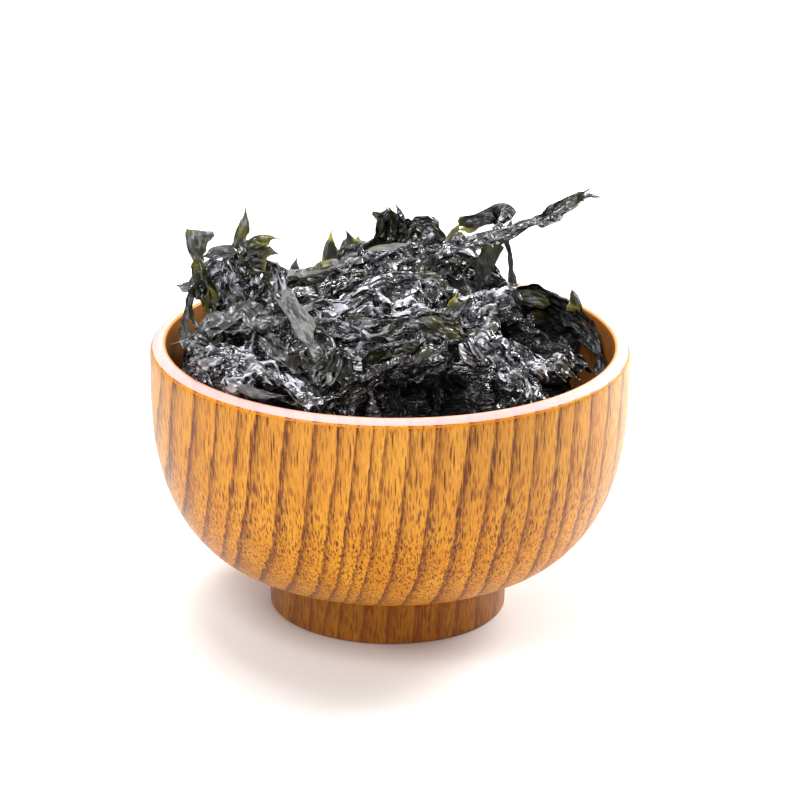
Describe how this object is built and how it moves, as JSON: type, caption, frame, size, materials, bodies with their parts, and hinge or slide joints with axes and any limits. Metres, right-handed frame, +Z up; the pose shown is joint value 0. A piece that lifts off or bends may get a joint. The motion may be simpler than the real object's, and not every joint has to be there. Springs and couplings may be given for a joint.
{
  "type": "dried laver in a wooden bowl",
  "caption": "Heap of crinkled dried purple laver in a turned wooden bowl with a short round foot; loose blades stand and reach out above the rim.",
  "frame": {"origin": "centre of the bowl foot's underside, on the surface that the bowl stands on", "axes": "+Z up along the bowl's turning axis; the front, as pictured, faces -Y; +X to the right, where the longest blade points"},
  "size_m": [0.12, 0.12, 0.1142],
  "materials": {
    "bowl_wood": "semi-gloss clear varnish over honey-orange wood with dark growth rings",
    "dried_laver": "thin crinkled near-black seaweed with a satin sheen and olive edges"
  },
  "bodies": {
    "root": {"bowl": "bowl_wood", "laver": "dried_laver"}
  },
  "joints": []
}
